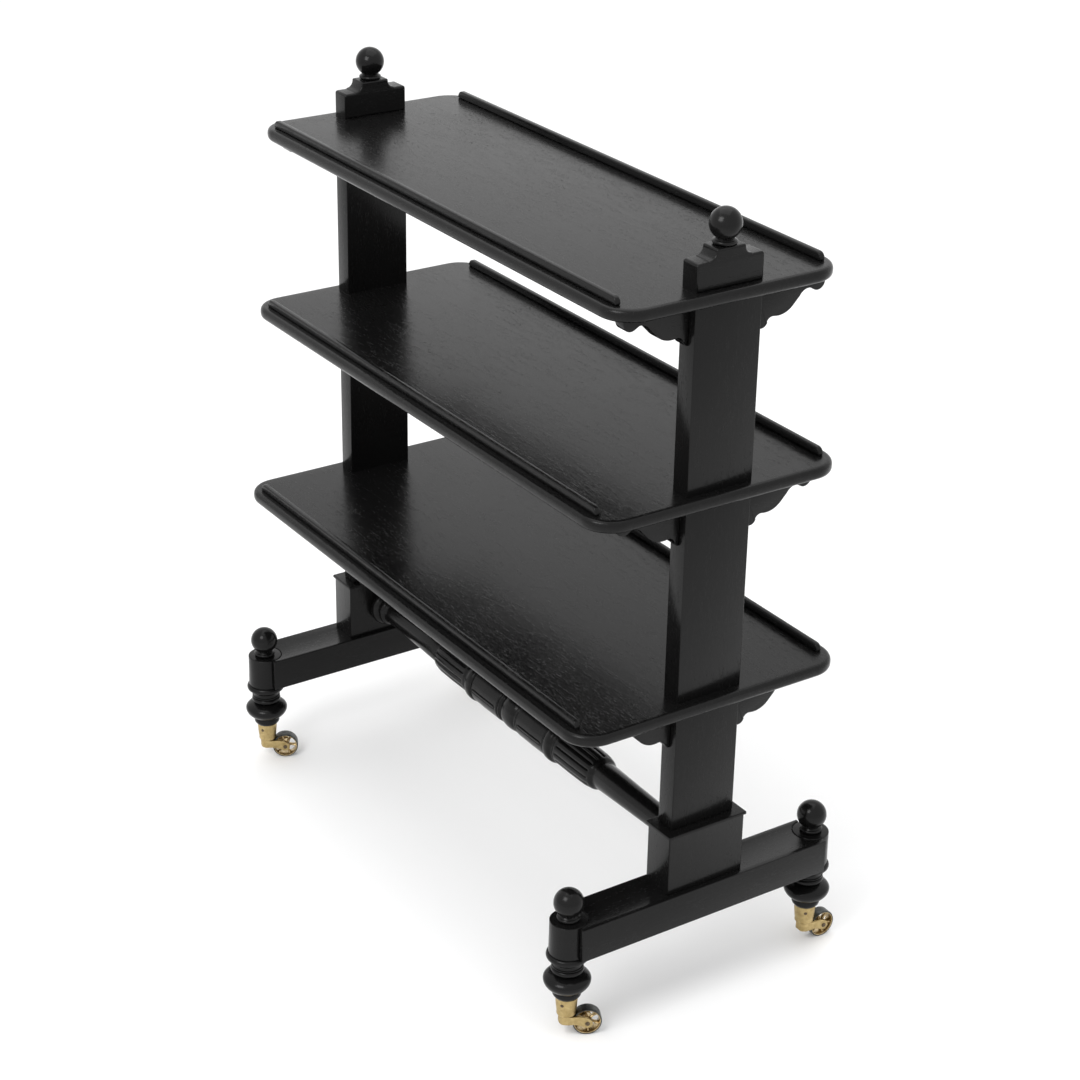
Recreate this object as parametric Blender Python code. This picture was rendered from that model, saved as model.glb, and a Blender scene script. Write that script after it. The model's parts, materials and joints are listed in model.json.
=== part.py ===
"""Three-tier ebonised bar cart: two end trestles on brass castors, three shelves and a turned stretcher.

X runs along the cart, Y across it and Z up, in metres. The origin lies on the floor at the middle of the
cart's footprint. Every piece of wood and brass is an object of its own; touching pieces keep a small gap.
"""

import math

import bmesh
import bpy
from mathutils import Matrix, Vector

# Gap between pieces that touch, and the sides of round pieces
GAP = 0.0003
TURNED_SIDES = 16
FINE_SIDES = 12
WHEEL_SIDES = 20

# Shelves: name -> height of the top face, half length, half depth
SHELVES = {
    "bottom": (0.4364, 0.4280, 0.1995),
    "middle": (0.7103, 0.4265, 0.1794),
    "top": (0.9609, 0.4245, 0.1607),
}
SHELF_THICK = 0.0160
SHELF_CORNER = 0.0410
BULLNOSE = 0.0077
HOUSING = 0.0010

# Gallery rails along the long edges of each shelf
RAIL_HALF_LENGTH = 0.3980
RAIL_THICK = 0.0076
RAIL_HEIGHT = 0.0098
RAIL_INSET = 0.0126
RAIL_END_ROUND = 0.0075
RAIL_TOP_ROUND = 0.0024

# End standards, made in sections between the shelves
POST_OUTER_X = 0.4115
POST_THICK = 0.0285
POST_HALF_WIDTH = 0.0472
POST_MID_X = POST_OUTER_X - POST_THICK / 2
EDGE_EASE = 0.0010

# Crest block above the top shelf
CREST_SHOULDER = 0.0336
CREST_HEIGHT = 0.0464
CREST_FLAT_HALF = 0.0205
CREST_STEP_HALF = 0.0285

# Scalloped brackets under the shelves
BRACKET_LENGTH = 0.1015
BRACKET_DROP = 0.0500
BRACKET_SETBACK = 0.0115
# The front brackets are let into the standards, so less of them shows
BRACKET_LET_IN = {"front": 0.0115, "back": 0.0}

# Plinth blocks and foot bars
PLINTH_INNER_X = 0.3763
PLINTH_OUTER_X = 0.4227
PLINTH_HALF_WIDTH = 0.0575
PLINTH_TOP = 0.2564
PLINTH_LIP = 0.0024
PLINTH_LIP_HEIGHT = 0.0050
PLINTH_LIP_SLOPE = 0.0014
BAR_MID_X = 0.4004
BAR_HALF_WIDTH = 0.0311
BAR_BOTTOM = 0.1245
BAR_TOP = 0.1709

# Turned legs at the ends of the foot bars
LEG_X = 0.3990
LEG_Y = 0.1905
LEG_RADIUS_TOP = 0.0238
LEG_RADIUS_BOTTOM = 0.0246

# Ball finials: ball radius, ring radius and neck radius
BALL = 0.0193
FINIAL_RING = 0.0148
FINIAL_NECK = 0.0118
TOP_BALL_RISE = 0.0238
FOOT_BALL_RISE = 0.0240

# Stretcher between the plinths
STRETCHER_Z = 0.2111

# Castors
CUP_TOP = 0.0575
CUP_BOTTOM = 0.0295
CUP_FLOOR = 0.0340
CUP_SOCKET_FLOOR = 0.0378
CUP_TOP_RADIUS = 0.0143
CUP_BOTTOM_RADIUS = 0.0104
SOCKET_RADIUS = 0.0113
STEM_RADIUS = 0.0030
STEM_HEAD_RADIUS = 0.0046
WHEEL_RADIUS = 0.0188
WHEEL_WIDTH = 0.0146
TRAIL = 0.0260
HORN_BOSS = 0.0102
HORN_TOP = CUP_BOTTOM - GAP
HORN_BOTTOM = 0.0178
HORN_CHEEK = 0.0024
HORN_SHOULDER = 0.0110
HORN_CROWN = 0.0150
HORN_HUB = 0.0066
HORN_CHAMFER = 0.0020
WHEEL_SIDE_PLAY = 0.0007
WHEEL_TIP_PLAY = 0.0006
CHEEK_INNER = WHEEL_WIDTH / 2 + WHEEL_SIDE_PLAY
HORN_HALF_WIDTH = CHEEK_INNER + HORN_CHEEK
AXLE_RADIUS = 0.0024
AXLE_BORE = AXLE_RADIUS + GAP
AXLE_HEAD_RADIUS = 0.0040
AXLE_HEAD_HEIGHT = 0.0013
# The wheel has flat sides, so its corners lie a little outside its rolling radius
WHEEL_CORNER = WHEEL_RADIUS / math.cos(math.pi / WHEEL_SIDES)
# Direction in which each castor trails, in degrees from +X
TRAIL_ANGLES = {"front_right": 63.0, "back_right": 88.0, "front_left": 61.0, "back_left": 68.0}
CORNERS = {"front_right": (1, -1), "back_right": (1, 1), "front_left": (-1, -1), "back_left": (-1, 1)}


def wheel_reach(angle):
    """How far a trailing wheel reaches from its pivot towards +Y."""
    along, across = math.sin(angle), abs(math.cos(angle))
    return (TRAIL + WHEEL_RADIUS) * along + WHEEL_WIDTH / 2 * across


# The wheels trail past the back legs, so the footprint's middle lies a little behind the cart's own
BULB_RADIUS = 0.0303
BACK_REACH = max(wheel_reach(math.radians(TRAIL_ANGLES[name])) for name in ("back_right", "back_left"))
MID_Y = (BULB_RADIUS - BACK_REACH) / 2


def clear_scene():
    for obj in list(bpy.data.objects):
        bpy.data.objects.remove(obj, do_unlink=True)


def make_material(name, colour, roughness, metallic):
    material = bpy.data.materials.new(name)
    material.use_nodes = True
    shader = material.node_tree.nodes["Principled BSDF"]
    shader.inputs["Base Color"].default_value = (*colour, 1)
    shader.inputs["Roughness"].default_value = roughness
    shader.inputs["Metallic"].default_value = metallic
    return material


def add_object(name, mesh, material, place=(0, 0, 0), parent=None):
    obj = bpy.data.objects.new(name, mesh)
    obj.location = place
    obj.parent = parent
    if not mesh.materials:
        mesh.materials.append(material)
    bpy.context.scene.collection.objects.link(obj)
    return obj


def add_empty(name, place, angle=0.0, parent=None):
    empty = bpy.data.objects.new(name, None)
    empty.location = place
    empty.rotation_euler = (0, 0, angle)
    empty.empty_display_size = 0.02
    empty.parent = parent
    bpy.context.scene.collection.objects.link(empty)
    return empty


def mesh_from(bm, name, smooth_angle=None):
    bmesh.ops.recalc_face_normals(bm, faces=bm.faces)
    mesh = bpy.data.meshes.new(name)
    bm.to_mesh(mesh)
    bm.free()
    if smooth_angle is not None:
        mesh.shade_smooth()
        mesh.set_sharp_from_angle(angle=math.radians(smooth_angle))
    return mesh


def arc(centre, radius, start, end, steps):
    """Points on an arc in a plane, from start to end in degrees."""
    turns = [math.radians(start + (end - start) * i / steps) for i in range(steps + 1)]
    return [(centre[0] + radius * math.cos(a), centre[1] + radius * math.sin(a)) for a in turns]


def oval(centre_z, radius, half_height, start, end, steps, base=0.0):
    """(radius, height) points of a bead: start and end are degrees above its widest place."""
    turns = [math.radians(start + (end - start) * i / steps) for i in range(steps + 1)]
    return [(base + (radius - base) * math.cos(a), centre_z + half_height * math.sin(a)) for a in turns]


def turned(name, profile, sides=TURNED_SIDES, closed=False):
    """A mesh turned about Z from (radius, height) points; a closed profile goes round a hole."""
    bm = bmesh.new()
    points = [bm.verts.new((radius, 0, height)) for radius, height in profile]
    pairs = list(zip(points, points[1:]))
    if closed:
        pairs.append((points[-1], points[0]))
    edges = [bm.edges.new(pair) for pair in pairs]
    bmesh.ops.spin(
        bm, geom=points + edges, axis=(0, 0, 1), cent=(0, 0, 0), angle=math.tau, steps=sides, use_merge=True
    )
    bmesh.ops.remove_doubles(bm, verts=bm.verts, dist=1e-6)
    return mesh_from(bm, name, smooth_angle=40)


def extruded(name, outline, depth, matrix, smooth_angle=30):
    """A mesh of a flat outline pushed out by depth along its own Z, then placed by matrix."""
    bm = bmesh.new()
    face = bm.faces.new([bm.verts.new((x, y, 0)) for x, y in outline])
    grown = bmesh.ops.extrude_face_region(bm, geom=[face])
    moved = [item for item in grown["geom"] if isinstance(item, bmesh.types.BMVert)]
    bmesh.ops.translate(bm, verts=moved, vec=(0, 0, depth))
    bm.transform(matrix)
    return mesh_from(bm, name, smooth_angle)


def add_bevel(obj, width, segments=1):
    bevel = obj.modifiers.new("eased_edges", "BEVEL")
    bevel.width = width
    bevel.segments = segments
    bevel.limit_method = "ANGLE"
    bevel.angle_limit = math.radians(35)


def axes_matrix(x_axis, y_axis, origin):
    """Places an outline drawn in X and Y on the two given world axes."""
    x_axis, y_axis = Vector(x_axis), Vector(y_axis)
    columns = (x_axis, y_axis, x_axis.cross(y_axis))
    return Matrix.Translation(origin) @ Matrix(columns).transposed().to_4x4()


def box_outline(half_x, half_y):
    return [(-half_x, -half_y), (half_x, -half_y), (half_x, half_y), (-half_x, half_y)]


def rounded_outline(half_x, half_y, radius, steps):
    """A rectangle with round corners, anticlockwise."""
    corners = ((1, 1, 0), (-1, 1, 90), (-1, -1, 180), (1, -1, 270))
    points = []
    for side_x, side_y, start in corners:
        centre = (side_x * (half_x - radius), side_y * (half_y - radius))
        points += arc(centre, radius, start, start + 90, steps)
    return points


def helper(name, mesh):
    """A cutter or guide that isn't part of the cart."""
    obj = bpy.data.objects.new(name, mesh)
    bpy.context.scene.collection.objects.link(obj)
    obj.hide_render = True
    obj.display_type = "WIRE"
    return obj


def combined(body, tools, name):
    """The mesh of a body after its modifiers and then one Boolean for each tool; the helpers are removed."""
    for operation, tool in tools:
        cut = body.modifiers.new(operation.lower(), "BOOLEAN")
        cut.operation = operation
        cut.solver = "EXACT"
        cut.object = tool
    bpy.context.view_layer.update()
    mesh = bpy.data.meshes.new_from_object(body.evaluated_get(bpy.context.evaluated_depsgraph_get()))
    mesh.name = name
    for obj in (body, *(tool for _, tool in tools)):
        bpy.data.objects.remove(obj, do_unlink=True)
    mesh.shade_smooth()
    mesh.set_sharp_from_angle(angle=math.radians(30))
    return mesh


def housing(name, half_x, half_y, x, y, top):
    """A cutter for the shallow recess that seats a rail, a post or a crest on a shelf."""
    outline = box_outline(half_x + GAP, half_y + GAP)
    return helper(name, extruded(name, outline, 2 * HOUSING, Matrix.Translation((x, y, top - HOUSING))))


def make_shelf(name, wood, root):
    """A board with a bullnose edge, recessed where the rails and the uprights stand on it."""
    top, half_length, half_depth = SHELVES[name]
    outline = rounded_outline(half_length, half_depth, SHELF_CORNER, 6)
    mesh = extruded(f"shelf_{name}", outline, SHELF_THICK, Matrix.Translation((0, 0, top - SHELF_THICK)))
    board = helper(f"board_{name}", mesh)
    add_bevel(board, BULLNOSE, 3)
    rail_y = half_depth - RAIL_INSET - RAIL_THICK / 2
    tools = []
    for sign in (1, -1):
        rail = housing("rail_housing", RAIL_HALF_LENGTH, RAIL_THICK / 2, 0, sign * rail_y, top)
        post = housing("post_housing", POST_THICK / 2, POST_HALF_WIDTH, sign * POST_MID_X, 0, top)
        tools += [("DIFFERENCE", rail), ("DIFFERENCE", post)]
    add_object(f"shelf_{name}", combined(board, tools, f"shelf_{name}"), wood, parent=root)


def rail_outline():
    """Side view of a rail: a flat foot below the shelf's top, and a top that rounds down at both ends."""
    reach, height, radius = RAIL_HALF_LENGTH, RAIL_HEIGHT, RAIL_END_ROUND
    right = arc((reach - radius, height - radius), radius, 0, 90, 3)
    left = arc((radius - reach, height - radius), radius, 90, 180, 3)
    return [(-reach, -HOUSING), (reach, -HOUSING)] + right + left


def rail_mesh():
    """A rail whose upper long edges are rounded over."""
    bm = bmesh.new()
    face = bm.faces.new([bm.verts.new((x, 0, z)) for x, z in rail_outline()])
    grown = bmesh.ops.extrude_face_region(bm, geom=[face])
    moved = [item for item in grown["geom"] if isinstance(item, bmesh.types.BMVert)]
    bmesh.ops.translate(bm, verts=moved, vec=(0, RAIL_THICK, 0))
    bmesh.ops.translate(bm, verts=bm.verts, vec=(0, -RAIL_THICK / 2, 0))
    bmesh.ops.recalc_face_normals(bm, faces=bm.faces)
    upper = [
        edge
        for edge in bm.edges
        if abs(edge.verts[0].co.y - edge.verts[1].co.y) < 1e-6
        and max(edge.verts[0].co.z, edge.verts[1].co.z) > RAIL_HEIGHT / 2
    ]
    bmesh.ops.bevel(bm, geom=upper, offset=RAIL_TOP_ROUND, segments=2, profile=0.5, affect="EDGES")
    return mesh_from(bm, "rail", smooth_angle=40)


def make_rails(wood, root):
    mesh = rail_mesh()
    for name, (top, _, half_depth) in SHELVES.items():
        offset = half_depth - RAIL_INSET - RAIL_THICK / 2
        for side, sign in (("front", -1), ("back", 1)):
            add_object(f"rail_{name}_{side}", mesh, wood, (0, sign * offset, top + GAP), root)


def make_posts(wood, root):
    """Three sections of each end standard, between the plinth and the shelves."""
    floors = {
        "lower": (PLINTH_TOP, SHELVES["bottom"][0] - SHELF_THICK),
        "middle": (SHELVES["bottom"][0] - HOUSING, SHELVES["middle"][0] - SHELF_THICK),
        "upper": (SHELVES["middle"][0] - HOUSING, SHELVES["top"][0] - SHELF_THICK),
    }
    outline = box_outline(POST_THICK / 2, POST_HALF_WIDTH)
    for name, (low, high) in floors.items():
        mesh = extruded(f"post_{name}", outline, high - low - 2 * GAP, Matrix(), smooth_angle=None)
        for side, sign in (("right", 1), ("left", -1)):
            post = add_object(f"post_{name}_{side}", mesh, wood, (sign * POST_MID_X, 0, low + GAP), root)
            add_bevel(post, EDGE_EASE)


def crest_outline():
    """Front view of a crest block: square shoulders, a cove at each side and a flat raised top."""
    rise = CREST_HEIGHT - CREST_SHOULDER
    run = CREST_STEP_HALF - CREST_FLAT_HALF
    cove = [
        (CREST_STEP_HALF - run * math.sin(a), CREST_SHOULDER + rise * (1 - math.cos(a)))
        for a in (math.radians(30 * i) for i in range(4))
    ]
    half = [(POST_HALF_WIDTH, -HOUSING), (POST_HALF_WIDTH, CREST_SHOULDER)] + cove
    return half + [(-x, z) for x, z in reversed(half)]


def finial_profile(ball_rise):
    """A ball on a neck and a ring, from the top down to its seat."""
    neck_top = ball_rise - math.sqrt(BALL**2 - FINIAL_NECK**2)
    ring_top = neck_top - 0.0030
    bottom_angle = -math.degrees(math.acos(FINIAL_NECK / BALL))
    ball = oval(ball_rise, BALL, BALL, 90, bottom_angle, 8)
    ball[0] = (0, ball_rise + BALL)
    ring = oval(ring_top / 2, FINIAL_RING, ring_top / 2, 70, -70, 4, FINIAL_NECK)
    return ball + [(FINIAL_NECK, ring_top)] + ring + [(FINIAL_NECK, 0), (0, 0)]


def make_crests(wood, root):
    top = SHELVES["top"][0]
    crest = extruded("crest", crest_outline(), POST_THICK, Matrix(), smooth_angle=None)
    crest.transform(axes_matrix((0, 1, 0), (0, 0, 1), (-POST_THICK / 2, 0, 0)))
    finial = turned("top_finial", finial_profile(TOP_BALL_RISE - GAP), FINE_SIDES)
    for side, sign in (("right", 1), ("left", -1)):
        block = add_object(f"crest_{side}", crest, wood, (sign * POST_MID_X, 0, top + GAP), root)
        add_bevel(block, EDGE_EASE)
        seat = top + CREST_HEIGHT + 2 * GAP
        add_object(f"top_finial_{side}", finial, wood, (sign * POST_MID_X, 0, seat), root)


def bracket_outline(let_in):
    """A scalloped bracket: X runs out from the post, Y down from the shelf.

    From the outer end: a round bead, a pointed hollow, a long reversed curve, a small cove and a
    quarter round that ends on the post, or in it by let_in.
    """
    bead_radius = 0.0105
    bead = arc((BRACKET_LENGTH - bead_radius, 0.0072), bead_radius, 0, 125, 5)
    hollow = (0.0800, 0.0128)
    upper = arc((0.0776, 0.0272), 0.0145, -80, -150, 3)
    belly = arc((0.0345, 0.0090), 0.0296, 42, 100, 4)
    cove = arc((0.0262, 0.0466), 0.0088, -90, -165, 3)
    foot = arc((0.0108, 0.0418), 0.0082, 10, 90, 3)
    edge = [(BRACKET_LENGTH, 0)] + bead + [hollow] + upper + belly + cove + foot
    shown = [(x - let_in, y) for x, y in edge if x > let_in]
    return shown + [(0, BRACKET_DROP), (0, 0)]


def make_brackets(wood, root):
    thick = POST_THICK - BRACKET_SETBACK
    inner = POST_OUTER_X - POST_THICK
    for end, low_x in (("right", inner), ("left", -inner - thick)):
        for side, sign in (("front", -1), ("back", 1)):
            outline = [(x, -y) for x, y in bracket_outline(BRACKET_LET_IN[side])]
            mesh = extruded(f"bracket_{end}_{side}", outline, thick, Matrix(), smooth_angle=35)
            # Drawn outwards and up, the outline grows along X for the back and along -X for the front
            start = low_x if sign > 0 else low_x + thick
            mesh.transform(axes_matrix((0, sign, 0), (0, 0, 1), (start, sign * (POST_HALF_WIDTH + GAP), 0)))
            for name, (top, _, _) in SHELVES.items():
                height = top - SHELF_THICK - GAP
                add_object(f"bracket_{name}_{end}_{side}", mesh, wood, (0, 0, height), root)


def stacked(name, rings):
    """A mesh through rings of points, one above the other, closed at both ends."""
    bm = bmesh.new()
    rows = [[bm.verts.new(point) for point in ring] for ring in rings]
    for low, high in zip(rows, rows[1:]):
        for i, here in enumerate(low):
            after = (i + 1) % len(low)
            bm.faces.new((here, low[after], high[after], high[i]))
    bm.faces.new(rows[0][::-1])
    bm.faces.new(rows[-1])
    return mesh_from(bm, name)


def make_plinths(wood, root):
    """A block with a thin lip round its top edge."""
    half_x = (PLINTH_OUTER_X - PLINTH_INNER_X) / 2
    mid_x = (PLINTH_OUTER_X + PLINTH_INNER_X) / 2
    lip_foot = PLINTH_TOP - PLINTH_LIP_HEIGHT
    # Each level: its height, and how far it stands out from the block
    levels = (
        (BAR_TOP + GAP, 0.0),
        (lip_foot, 0.0),
        (lip_foot + PLINTH_LIP_SLOPE, PLINTH_LIP),
        (PLINTH_TOP - EDGE_EASE, PLINTH_LIP),
        (PLINTH_TOP, PLINTH_LIP - EDGE_EASE),
    )
    rings = []
    for height, out in levels:
        corners = box_outline(half_x + out, PLINTH_HALF_WIDTH + out)
        rings.append([(x, y, height) for x, y in corners])
    mesh = stacked("plinth", rings)
    for side, sign in (("right", 1), ("left", -1)):
        add_object(f"plinth_{side}", mesh, wood, (sign * mid_x, 0, 0), root)


def bar_outline():
    """Plan of a foot bar: a rectangle whose ends are hollowed to take the round legs."""
    radius = LEG_RADIUS_BOTTOM + 2 * GAP
    shift = LEG_X - BAR_MID_X
    front = arc((shift, -LEG_Y), radius, 180, 0, 12)
    back = arc((shift, LEG_Y), radius, 360, 180, 12)
    corners = ((BAR_HALF_WIDTH, -LEG_Y), (BAR_HALF_WIDTH, LEG_Y), (-BAR_HALF_WIDTH, LEG_Y))
    return [(-BAR_HALF_WIDTH, -LEG_Y)] + front + list(corners[:2]) + back + [corners[2]]


def make_bars(wood, root):
    mesh = extruded("foot_bar", bar_outline(), BAR_TOP - BAR_BOTTOM, Matrix(), smooth_angle=30)
    for side, sign in (("right", 1), ("left", -1)):
        bar = add_object(f"foot_bar_{side}", mesh, wood, (sign * BAR_MID_X, 0, BAR_BOTTOM), root)
        bar.rotation_euler = (0, 0, 0 if sign > 0 else math.pi)


def leg_profile():
    """A leg from its top down: drum, ring, hollow, neck ring, bulb, ankle and the tenon in the cup."""
    drum = [(0, BAR_TOP), (LEG_RADIUS_TOP, BAR_TOP), (LEG_RADIUS_BOTTOM, 0.1240)]
    ring = oval(0.1195, 0.0270, 0.0046, 60, -60, 3, LEG_RADIUS_TOP)
    hollow = [(0.0212, 0.1142), (0.0186, 0.1090), (0.0180, 0.1040)]
    neck = oval(0.0996, 0.0208, 0.0036, 60, -60, 3, 0.0180)
    upper_bulb = oval(0.0840, BULB_RADIUS, 0.0120, 55, 0, 3)
    lower_bulb = oval(0.0840, BULB_RADIUS, 0.0190, -20, -54, 3)
    ankle = [(0.0180, 0.0645), (0.0182, 0.0612), (0.0157, CUP_TOP + GAP)]
    tenon_radius, tenon_foot = SOCKET_RADIUS - GAP, CUP_SOCKET_FLOOR + GAP
    tenon = [(tenon_radius, CUP_TOP + GAP), (tenon_radius, tenon_foot), (0, tenon_foot)]
    return drum + ring + hollow + neck + upper_bulb + lower_bulb + ankle + tenon


def stretcher_half():
    """(radius, distance from the middle) from the central bead out to the plinth."""
    bead = [(0.0281 * math.cos(a), 0.0260 * math.sin(a)) for a in (math.radians(9 * i) for i in range(4))]
    panel = [(0.0243, 0.0170), (0.0243, 0.0200), (0.0272, 0.0235), (0.0276, 0.0600), (0.0272, 0.0880)]
    ring = oval(0.0990, 0.0290, 0.0085, -60, 60, 4, 0.0250)
    reeded = [(0.0248, 0.1120), (0.0252, 0.1150), (0.0258, 0.1500), (0.0252, 0.1850), (0.0222, 0.1965)]
    taper = [(0.0192, 0.1990), (0.0182, 0.2500), (0.0168, 0.3200), (0.0165, 0.3480)]
    small_collar = oval(0.3535, 0.0215, 0.0045, -60, 60, 2, 0.0170)
    large_collar = oval(0.3680, 0.0262, 0.0070, -60, 60, 3, 0.0190)
    return bead + panel + ring + reeded + taper + small_collar + large_collar


def make_stretcher(wood, root):
    length = PLINTH_INNER_X - GAP
    half = stretcher_half() + [(0.0190, length)]
    profile = [(0, length)] + half[::-1] + [(r, -x) for r, x in half[1:]] + [(0, -length)]
    mesh = turned("stretcher", profile, FINE_SIDES)
    mesh.transform(Matrix.Rotation(math.pi / 2, 4, "Y"))
    add_object("stretcher", mesh, wood, (0, 0, STRETCHER_Z), root)


def cup_profile():
    """A tapered cup that is open above, with a floor that holds the stem's head."""
    wall = [
        (CUP_BOTTOM_RADIUS + (CUP_TOP_RADIUS - CUP_BOTTOM_RADIUS) * part**0.5, CUP_BOTTOM + rise)
        for part, rise in ((p, p * (CUP_TOP - CUP_BOTTOM)) for p in (1.0, 0.6, 0.3, 0.1, 0.0))
    ]
    bore = STEM_RADIUS + GAP
    recess = STEM_HEAD_RADIUS + 2 * GAP
    inside = [
        (bore, CUP_BOTTOM),
        (bore, CUP_FLOOR),
        (recess, CUP_FLOOR),
        (recess, CUP_SOCKET_FLOOR),
        (SOCKET_RADIUS, CUP_SOCKET_FLOOR),
        (SOCKET_RADIUS, CUP_TOP),
    ]
    return wall + inside


def both_sides(profile):
    """The (radius, height) points of one half, followed by their mirror image below."""
    return profile + [(radius, -height) for radius, height in reversed(profile)]


def wheel_profile():
    """A wheel about Z: flat tread, recessed webs and a hub with a bore; closed round the bore."""
    half = WHEEL_WIDTH / 2
    web = half - 0.0030
    face = [(AXLE_BORE, half), (0.0052, half), (0.0056, web), (0.0136, web), (0.0146, half)]
    tread = [(WHEEL_CORNER - 0.0006, half), (WHEEL_CORNER, half - 0.0008)]
    return both_sides(face + tread)


def axle_profile():
    """A pin with a low round head outside each cheek."""
    cheek = HORN_HALF_WIDTH + GAP
    head = [(0, cheek + AXLE_HEAD_HEIGHT), (0.7 * AXLE_HEAD_RADIUS, cheek + 0.8 * AXLE_HEAD_HEIGHT)]
    return both_sides(head + [(AXLE_HEAD_RADIUS, cheek), (AXLE_RADIUS, cheek)])


def stem_profile():
    """The pivot pin, from the top of its head down to its foot inside the horn."""
    head_low = CUP_FLOOR + GAP
    head_high = CUP_SOCKET_FLOOR - 3 * GAP
    foot = HORN_BOTTOM + 0.0030
    return [
        (0, head_high),
        (STEM_HEAD_RADIUS, head_high),
        (STEM_HEAD_RADIUS, head_low),
        (STEM_RADIUS, head_low),
        (STEM_RADIUS, foot),
        (0, foot),
    ]


def horn_plan():
    """Plan of the horn: a round boss that widens into the two cheeks."""
    end = TRAIL + HORN_BOSS
    side = HORN_HALF_WIDTH
    cheeks = [(HORN_SHOULDER, -side), (end, -side), (end, side), (HORN_SHOULDER, side)]
    return arc((0, 0), HORN_BOSS, 100, 260, 8) + cheeks


def horn_side():
    """Side view of the horn: a block under the cup, and an arm that curves down to a round hub."""
    front = -HORN_BOSS - EDGE_EASE
    block = [(front, HORN_TOP), (front, HORN_BOTTOM + HORN_CHAMFER), (front + HORN_CHAMFER, HORN_BOTTOM)]
    end = arc((TRAIL, WHEEL_RADIUS), HORN_HUB, -100, 55, 8)
    return block + [(HORN_SHOULDER, HORN_BOTTOM)] + end + [(HORN_CROWN, HORN_TOP)]


def drum(radius, half_length, sides):
    """A plain closed cylinder on the wheel's axis."""
    mesh = turned("drum", both_sides([(0, half_length), (radius, half_length)]), sides)
    turn = Matrix.Rotation(math.pi / 2, 4, "X")
    mesh.transform(Matrix.Translation((TRAIL, 0, WHEEL_RADIUS)) @ turn)
    return mesh


def horn_mesh():
    """The horn with its stem: plan and side view crossed, cut clear of the wheel and bored for the axle."""
    reach = 2 * HORN_HALF_WIDTH
    plan = extruded("horn_body", horn_plan(), HORN_TOP, Matrix.Translation((0, 0, HORN_BOTTOM / 2)))
    side = extruded("horn_side", horn_side(), 2 * reach, axes_matrix((1, 0, 0), (0, 0, 1), (0, reach, 0)))
    body = helper("horn_body", plan)
    slot = drum(WHEEL_CORNER + WHEEL_TIP_PLAY, CHEEK_INNER, 2 * WHEEL_SIDES)
    tools = (
        ("INTERSECT", helper("horn_side", side)),
        ("DIFFERENCE", helper("wheel_slot", slot)),
        ("DIFFERENCE", helper("axle_bore", drum(AXLE_BORE, reach, FINE_SIDES))),
        ("UNION", helper("stem", turned("stem", stem_profile()))),
    )
    return combined(body, tools, "horn")


def make_legs(wood, root):
    leg = turned("leg", leg_profile())
    finial = turned("foot_finial", finial_profile(FOOT_BALL_RISE - GAP), FINE_SIDES)
    for name, (side_x, side_y) in CORNERS.items():
        place = (side_x * LEG_X, side_y * LEG_Y, 0)
        add_object(f"leg_{name}", leg, wood, place, root)
        add_object(f"foot_finial_{name}", finial, wood, (*place[:2], BAR_TOP + GAP), root)


def make_castors(brass, iron, root):
    """Each cup is fixed on its leg; the horn swivels under it and carries the axle and the wheel."""
    cup = turned("cup", cup_profile(), closed=True)
    wheel = turned("wheel", wheel_profile(), WHEEL_SIDES, closed=True)
    wheel.transform(Matrix.Rotation(math.pi / WHEEL_SIDES, 4, "Z"))
    axle = turned("axle", axle_profile(), FINE_SIDES)
    for mesh in (wheel, axle):
        mesh.transform(Matrix.Rotation(math.pi / 2, 4, "X"))
    horn = horn_mesh()
    for name, (side_x, side_y) in CORNERS.items():
        place = (side_x * LEG_X, side_y * LEG_Y, 0)
        add_object(f"castor_cup_{name}", cup, brass, place, root)
        pivot = add_empty(f"swivel_{name}", place, math.radians(TRAIL_ANGLES[name]), root)
        add_object(f"castor_horn_{name}", horn, brass, parent=pivot)
        hub = add_empty(f"hub_{name}", (TRAIL, 0, WHEEL_RADIUS), parent=pivot)
        add_object(f"castor_axle_{name}", axle, iron, parent=hub)
        add_object(f"castor_wheel_{name}", wheel, brass, parent=hub)


def main():
    clear_scene()
    wood = make_material("ebonised_wood", (0.012, 0.012, 0.012), 0.35, 0.0)
    brass = make_material("aged_brass", (0.42, 0.30, 0.12), 0.38, 1.0)
    iron = make_material("axle_steel", (0.25, 0.20, 0.13), 0.40, 1.0)
    root = add_empty("cart", (0, MID_Y, 0))
    for name in SHELVES:
        make_shelf(name, wood, root)
    make_rails(wood, root)
    make_posts(wood, root)
    make_crests(wood, root)
    make_brackets(wood, root)
    make_plinths(wood, root)
    make_bars(wood, root)
    make_legs(wood, root)
    make_stretcher(wood, root)
    make_castors(brass, iron, root)


main()
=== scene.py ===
"""Looks of the ebonised bar cart: fine turned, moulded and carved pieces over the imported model."""

import json
import math

import bmesh
import bpy
from mathutils import Matrix, Vector


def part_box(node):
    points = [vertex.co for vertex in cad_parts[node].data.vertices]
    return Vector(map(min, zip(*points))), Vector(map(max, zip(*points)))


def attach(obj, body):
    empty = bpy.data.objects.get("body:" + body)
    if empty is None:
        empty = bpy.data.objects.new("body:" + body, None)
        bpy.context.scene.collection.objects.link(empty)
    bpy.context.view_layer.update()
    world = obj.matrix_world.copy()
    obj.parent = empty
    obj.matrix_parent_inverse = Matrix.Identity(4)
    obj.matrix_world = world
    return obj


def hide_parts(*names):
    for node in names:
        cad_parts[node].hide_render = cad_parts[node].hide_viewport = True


# Camera: a long lens that looks down on the near right corner
LENS = 82.05
SENSOR = 36.0
AZIMUTH = math.radians(56.124)
ELEVATION = math.radians(25.853)
ROLL = math.radians(1.033)
CAMERA_PLACE = Vector((2.4636, -1.6289, 1.9058))

# Sides round the axis of turned pieces
FINE = 72
SMALL = 48
WHEEL_SIDES = 96
PIN_SIDES = 32

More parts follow.
